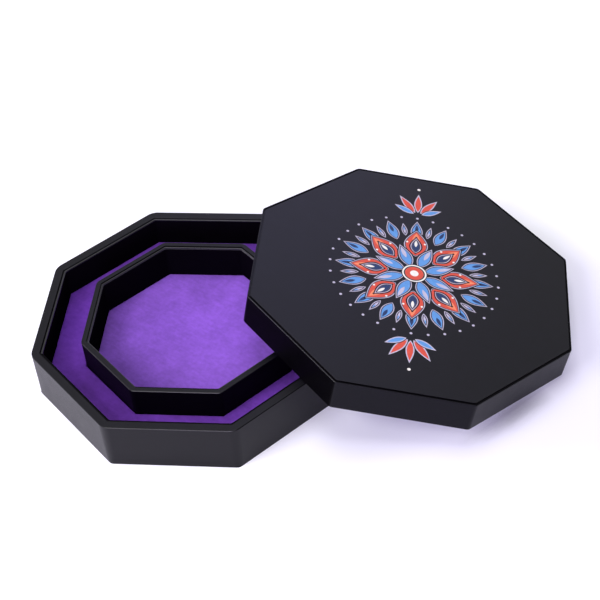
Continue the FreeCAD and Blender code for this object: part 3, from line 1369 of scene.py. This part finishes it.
@dataclass
class Pad:
    """Velvet glued over foam, tucked down at its edges.

    Each round at an edge saves `tuck_saved` of its radius in cloth. The crown starts `crown_start` edge
    radii inside, and the fine dimples are `fine_times` closer and `fine_share` as deep as the others.
    """

    name: str
    hole: float
    seed: float
    velvet_thick: float = 0.55 * MM
    tuck: float = 4.0 * MM
    tuck_saved: float = 0.43
    gap: float = 0.05 * MM
    edge_round: float = 0.75 * MM
    crown: float = 0.25 * MM
    crown_reach: float = 9 * MM
    crown_start: float = 1.6
    dimple_depth: float = 0.16 * MM
    dimple_size: float = 19 * MM
    fine_share: float = 0.4
    fine_times: float = 2.7
    dimple_above: float = 0.4 * MM
    steps_along: int = 26
    rows_in_ring: int = 14
    rows_to_middle: int = 30
    foam_clear: float = 0.02 * MM
    foam_fill: float = 0.95

    def build(self, bench: Bench, velvet: Material, foam: Material) -> None:
        """Make the velvet and the foam under it.

        Args:
            bench: the bench.
            velvet: material of the velvet.
            foam: material of the foam.
        """
        foam_low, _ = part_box(self.name + "_foam")
        velvet_low, velvet_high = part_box(self.name + "_velvet")
        across = velvet_high.x - velvet_low.x - 2 * self.gap
        inner = (across - self.hole) / 2 - (self.gap if self.hole else 0.0)
        top = velvet_high.z
        profile = self._cloth(inner, top)
        name = self.name + "_velvet_cloth"
        cover = bench.sweep.mesh(name, profile, velvet, across, straight_steps=self.steps_along)
        self._dimple(cover, top - self.dimple_above)
        cloth = bench.piece(cover, [self.name + "_velvet"], Body.TRAY, "purple_velvet", crisp=80)
        profile = self._block(inner, foam_low.z, top - self.velvet_thick)
        name = self.name + "_foam_block"
        block = bench.sweep.mesh(name, profile, foam, across - 2 * self.velvet_thick)
        pad = bench.piece(block, [self.name + "_foam"], Body.TRAY, "foam", crisp=50)
        flat_area(across, self.hole) + self._tucked(across)

    def _tucked(self, across: float) -> float:
        """Area of the cloth that is turned down at the edges; each round saves a share of its radius."""
        round_all = SIDES * SLOPE * (across + self.hole)
        return round_all * (self.tuck - self.tuck_saved * self.edge_round)

    def _dimple(self, mesh: Mesh, above: float) -> None:
        """Let the velvet rise and sink a little, as hand-glued cloth does.

        Args:
            mesh: the velvet.
            above: height above which it is moved.
        """
        for vertex in mesh.vertices:
            if vertex.co.z > above:
                x, y = vertex.co.x / self.dimple_size, vertex.co.y / self.dimple_size
                spot = Vector((x, y, self.seed))
                fine = self.fine_share * noise.noise(spot * self.fine_times)
                vertex.co.z += self.dimple_depth * (noise.noise(spot) + fine)

    def _levels(self, inner: float) -> list[Pair]:
        """Work out the rows of the crowned top.

        Args:
            inner: depth of the inner edge, or of the middle.

        Returns:
            (depth, rise) of each row, from the outer edge inwards.
        """
        count = self.rows_in_ring if self.hole else self.rows_to_middle
        first = self.crown_start * self.edge_round
        last = inner - first if self.hole else inner
        levels = []
        for i in range(count + 1):
            depth = first + (last - first) * i / count
            share = min(depth, inner - depth if self.hole else inner) / self.crown_reach
            levels.append((depth, self.crown * (1 - math.exp(-share))))
        return levels

    def _cloth(self, inner: float, top: float) -> Profile:
        """Draw the velvet's cross-section: over the top, down at the edges and back underneath.

        Args:
            inner: depth of the inner edge, or of the middle.
            top: height of the top.

        Returns:
            The cross-section.
        """
        low = top - self.tuck
        thick = self.velvet_thick
        under = top - thick
        crown_top = top - self.crown
        ease = self.edge_round - thick
        over = [Corner(0.0, low), Corner(0.0, crown_top, self.edge_round)]
        over += [Corner(depth, crown_top + rise) for depth, rise in self._levels(inner)]
        beneath = [Corner(thick, low), Corner(thick, under - self.crown, ease)]
        if self.hole:
            end = inner - thick
            over += [Corner(inner, crown_top, self.edge_round), Corner(inner, low)]
            beneath += [Corner(end, under - self.crown, ease), Corner(end, low)]
        else:
            beneath.append(Corner(inner, under))
        return Profile(tuple(over + beneath[::-1]))

    def _block(self, inner: float, low: float, top: float) -> Profile:
        """Draw the foam's cross-section.

        Args:
            inner: depth of the velvet's inner edge, or of the middle.
            low: height of the foam's underside.
            top: height of the velvet's underside.

        Returns:
            The cross-section.
        """
        ease = self.edge_round - self.velvet_thick
        under = top - self.crown - self.foam_clear
        outer = (Corner(0.0, low), Corner(0.0, under, ease))
        if self.hole:
            end = inner - 2 * self.velvet_thick
            return Profile((*outer, Corner(end, under, ease), Corner(end, low)))
        end = inner - self.velvet_thick
        return Profile((Corner(end, low), *outer, Corner(end, under)), closed=False)


@dataclass(frozen=True)
class Slab:
    """A flat octagonal board or sheet."""

    node: str
    body: Body
    slot: str
    placing: Placing = LEVEL
    corner_radius: float = 0.0
    top_round: float = 0.15 * MM
    foot_round: float = 0.15 * MM

    def build(
        self, bench: Bench, finish: Material, suffix: str, painted_shade: Material | None = None
    ) -> Object:
        """Make the slab.

        Args:
            bench: the bench.
            finish: the material.
            suffix: what its name adds to the node's name.
            painted_shade: another material for its sides and underside, used to paint shade there.

        Returns:
            The finished object.
        """
        low, high = self.placing.span(self.node)
        across = high.x - low.x
        corners = (
            Corner(across / 2, low.z),
            Corner(0.0, low.z, self.foot_round),
            Corner(0.0, high.z, self.top_round),
            Corner(across / 2, high.z),
        )
        profile = Profile(corners, closed=False, steps=3)
        mesh = bench.sweep.mesh(self.node + suffix, profile, finish, across, self.corner_radius)
        if painted_shade:
            dress(mesh, across, painted_shade, lambda depth, spot: spot.z < high.z - self.top_round)
        return bench.piece(mesh, [self.node], self.body, self.slot, self.placing)


@dataclass
class Lid:
    """The cap: a skirt, a beaded cover plate, a printed panel, and board and velvet inside.

    `dark_from` says from which depth on a side the plate wears the darker copy of the leatherette, as
    painted shade for its groove there. The bead is lower by `bead_drop` on those sides, and wears the
    brighter, glossier copy as a painted highlight on the `painted_highlight_on` side.
    """

    corner_radius: float = 4.5 * MM
    foot_round: float = 0.15 * MM
    joint_chamfer: float = 0.25 * MM
    bead_width: float = 0.8 * MM
    bead_round: float = 0.25 * MM
    bead_drop: float = 0.65 * MM
    panel_round: float = 0.2 * MM
    lining_round: float = 0.4 * MM
    skirt_height: float = 23.3 * MM
    print_middle: Pair = (1.0 * MM, 4.0 * MM)
    painted_highlight_on: Side = Side.FRONT_LEFT
    dark_from: dict[Side, float] = field(
        default_factory=lambda: {
            Side.FRONT_LEFT: 0.45 * MM,
            Side.FRONT: 0.45 * MM,
            Side.FRONT_RIGHT: 0.1 * MM,
            Side.RIGHT: 0.1 * MM,
        }
    )

    def placing(self) -> Placing:
        """The lid's own frame, from the slab inside it: its origin is at the skirt's lower edge."""
        low, high = Placing.of_slab("lid_top_board", 0.0).span("lid_top_board")
        return Placing.of_slab("lid_top_board", self.skirt_height - (high.z - low.z) / 2)

    def build(self, bench: Bench, finishes: Finishes) -> None:
        """Make every piece of the lid.

        Args:
            bench: the bench.
            finishes: the materials.
        """
        placing = self.placing()
        WallRing(
            prefix="lid_wall_",
            body=Body.LID,
            placing=placing,
            corner_radius=self.corner_radius,
            top_round=self.joint_chamfer,
            inner_round=0.0,
            foot_round=self.foot_round,
            painted_highlight_on=(),
            # The whole front-left board wears the darker copy as painted shade.
            painted_shade_board=Side.FRONT_LEFT,
        ).build(bench, finishes.lid_leatherette, finishes)
        radius = self.corner_radius - self._cover(bench, placing, finishes)
        onto = placing.matrix @ Matrix.Translation((*self.print_middle, 0.0))
        printed = PrintedLeatherette(onto=onto).material()
        panel = Slab("lid_face_panel", Body.LID, "lid_panel", placing, radius, self.panel_round, 0.0)
        # The panel's sides wear the darker copy as painted shade in the groove.
        panel.build(bench, printed, "_printed", finishes.matt)
        board = Slab("lid_top_board", Body.LID, "inner_board", placing)
        board.build(bench, finishes.greyboard, "_cut")
        cloth = Slab("lid_lining", Body.LID, "lid_velvet", placing, foot_round=self.lining_round)
        lining = cloth.build(bench, finishes.lid_velvet, "_cloth")
        low, high = placing.span("lid_lining")
        across = high.x - low.x
        flat_area(across)

    def _cover(self, bench: Bench, placing: Placing, finishes: Finishes) -> float:
        """Make the cover plate.

        Args:
            bench: the bench.
            placing: the lid's own frame.
            finishes: the materials.

        Returns:
            How far the panel's edge lies inside the plate's.
        """
        low, high = placing.span("lid_cover_plate")
        panel_low, panel_high = placing.span("lid_face_panel")
        across = high.x - low.x
        corners = (
            Corner(across / 2, low.z),
            Corner(0.0, low.z, self.joint_chamfer),
            Corner(0.0, high.z, self.bead_round),
            Corner(self.bead_width / 2, high.z),
            Corner(self.bead_width, high.z),
            Corner(self.bead_width, panel_low.z),
            Corner(across / 2, panel_low.z),
        )
        profile = Profile(corners, closed=False)
        name = "lid_cover_plate_beaded"
        mesh = bench.sweep.mesh(name, profile, finishes.lid_leatherette, across, self.corner_radius)
        for vertex in mesh.vertices:
            if vertex.co.z > (panel_low.z + high.z) / 2 and side_of(vertex.co) in self.dark_from:
                vertex.co.z -= self.bead_drop
        # Painted shade over the groove on the `dark_from` sides.
        dress(
            mesh,
            across,
            finishes.matt,
            lambda depth, spot: depth > self.dark_from.get(side_of(spot), across),
        )
        # Painted highlight on the front-left bead.
        dress(
            mesh,
            across,
            finishes.edge,
            lambda depth, spot: depth < self.bead_width / 2 and side_of(spot) is self.painted_highlight_on,
        )
        bench.piece(mesh, ["lid_cover_plate"], Body.LID, "black_leatherette", placing)
        return (across - (panel_high.x - panel_low.x)) / 2


@dataclass
class Tray:
    """The open tray: outer wall, inner ring, linings, velvet floors and the board under them."""

    wall: WallRing = WallRing(
        prefix="base_wall_",
        body=Body.TRAY,
        corner_radius=11 * MM,
        top_round=0.45 * MM,
        inner_round=0.5 * MM,
        foot_round=0.15 * MM,
        foot_corner_radius=3.5 * MM,
        corner_growth=0.18,
        # Painted shade in the seam except on the `plain` back sides, and on the front-right rim's outer
        # edge; the front rim's outer edge gets the painted highlight.
        seam=0.6 * MM,
        plain=(Side.BACK_LEFT, Side.BACK, Side.BACK_RIGHT),
        painted_shade_edge=(Side.FRONT_RIGHT,),
        rows=9,
    )
    ring: WallRing = WallRing(
        prefix="ring_wall_",
        body=Body.TRAY,
        corner_radius=6 * MM,
        top_round=0.55 * MM,
        inner_round=0.5 * MM,
        foot_round=0.0,
        # Painted shade on the ring's flanks below the rim.
        flank_below=0.9 * MM,
    )
    # The linings' rolls: painted shade on the listed front sides (the front side alone for the ring),
    # painted highlight on the others.
    wall_lining: LiningStrip = LiningStrip(
        node="base_lining",
        top_drop=0.5 * MM,
        shaded=(Side.FRONT_LEFT, Side.FRONT, Side.FRONT_RIGHT),
    )
    ring_lining: LiningStrip = LiningStrip(
        node="ring_lining",
        top_drop=-0.8 * MM,
        roll_width=1.1 * MM,
    )
    bottom: Slab = Slab("bottom_board", Body.TRAY, "underside_board")

    def build(self, bench: Bench, finishes: Finishes) -> None:
        """Make every piece of the tray.

        Args:
            bench: the bench.
            finishes: the materials.
        """
        self.wall.build(bench, finishes.leatherette, finishes)
        self.ring.build(bench, finishes.leatherette, finishes)
        self.wall_lining.build(bench, finishes)
        self.ring_lining.build(bench, finishes)
        moat = Pad("moat", hole=self.ring.measure()[0], seed=3.7)
        moat.build(bench, finishes.moat_velvet, finishes.foam)
        Pad("well", hole=0.0, seed=8.1).build(bench, finishes.velvet, finishes.foam)
        self.bottom.build(bench, finishes.papered, "_papered")


# ---- Studio ----


@dataclass(frozen=True)
class Lamp:
    """A square soft lamp that points at a target."""

    name: str
    place: Triple
    size: float
    power: float
    colour: Colour = (1.0, 1.0, 1.0)

    def hang(self, target: Vector) -> None:
        """Hang the lamp.

        Args:
            target: the point that it is turned to.
        """
        light = bpy.data.lights.new(self.name, "AREA")
        light.shape = "SQUARE"
        light.size = self.size
        light.energy = self.power
        light.color = self.colour
        lamp = put(self.name, light)
        lamp.location = self.place
        lamp.rotation_euler = (target - lamp.location).to_track_quat("-Z", "Y").to_euler()


@dataclass
class Studio:
    """Floor, world, lamps and camera; the camera's angles are in degrees."""

    target: Triple = (70.83 * MM, 51.95 * MM, 0.0)
    distance: float = 1.0221
    azimuth: float = 7.868
    elevation: float = 45.28
    roll: float = -4.505
    lens: float = 82.83
    sensor: float = 36.0
    nearest: float = 0.01
    farthest: float = 50.0
    floor_size: float = 9.0
    world_light: Colour = (0.06, 0.06, 0.06)
    lamps: tuple[Lamp, ...] = (
        Lamp("key_softbox", (-0.717, -0.736, 1.004), 0.7, 14.7),
        Lamp("left_softbox", (-1.339, 0.052, 0.513), 0.6, 14.6, (1.05, 0.96, 1.12)),
        Lamp("right_softbox", (1.480, 0.052, 0.513), 0.6, 8.3, (0.99, 0.95, 1.00)),
        Lamp("front_softbox", (0.071, -1.357, 0.513), 0.6, 8.4, (1.14, 0.93, 1.58)),
        Lamp("back_softbox", (0.155, 1.263, 0.882), 0.7, 1.9, (0.85, 0.80, 1.70)),
        Lamp("top_softbox", (0.071, 0.105, 2.2), 1.3, 22.5),
    )

    def build(self) -> None:
        """Set the scene round the object."""
        self._floor()
        self._world()
        for lamp in self.lamps:
            lamp.hang(Vector(self.target))
        self._camera()
        bpy.context.scene.view_settings.view_transform = "Standard"

    def _floor(self) -> None:
        """Lay the floor."""
        mesh = bpy.data.meshes.new("floor")
        half = self.floor_size / 2
        corners = [(-half, -half, 0), (half, -half, 0), (half, half, 0), (-half, half, 0)]
        mesh.from_pydata(corners, [], [(0, 1, 2, 3)])
        mesh.materials.append(PaleFloor().material())
        floor = put("floor", mesh)

    def _world(self) -> None:
        """Light the room evenly, and show it white to the camera."""
        world = bpy.data.worlds.new("room")
        world.use_nodes = True
        bpy.context.scene.world = world
        world.node_tree.nodes.clear()
        graph = Graph(world.node_tree)
        colour = graph.mix(graph.shown(), self.world_light, (1.0, 1.0, 1.0))
        light = graph.add("ShaderNodeBackground", Color=colour, Strength=1.0)
        graph.add("ShaderNodeOutputWorld", Surface=graph.out(light))

    def _camera(self) -> None:
        """Place the camera on its arc round the target, with its roll."""
        azimuth, elevation = math.radians(self.azimuth), math.radians(self.elevation)
        level = math.cos(elevation)
        back = Vector((math.sin(azimuth) * level, -math.cos(azimuth) * level, math.sin(elevation)))
        right = (-back).cross(Vector((0, 0, 1))).normalized()
        upright = Matrix((right, back.cross(right), back)).transposed()
        turned = upright @ Matrix.Rotation(math.radians(self.roll), 3, "Z")
        lens = bpy.data.cameras.new("camera")
        lens.lens = self.lens
        lens.sensor_width = self.sensor
        lens.clip_start, lens.clip_end = self.nearest, self.farthest
        camera = put("camera", lens)
        place = Vector(self.target) + back * self.distance
        camera.matrix_world = Matrix.Translation(place) @ turned.to_4x4()
        bpy.context.scene.camera = camera


def clear_defaults() -> None:
    """Remove whatever a fresh Blender file holds beside the frame."""
    kept = set(frame["nodes"].values()) | set(frame["bodies"].values())
    for thing in list(bpy.data.objects):
        if thing not in kept:
            bpy.data.objects.remove(thing)


def main() -> None:
    """Dress the frame and set the studio."""
    logging.basicConfig(level=logging.INFO, format="%(name)s: %(message)s")
    clear_defaults()
    bench = Bench()
    finishes = Finishes()
    Tray().build(bench, finishes)
    Lid().build(bench, finishes)
    Studio().build()
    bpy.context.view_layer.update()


if __name__ == "__main__":
    main()
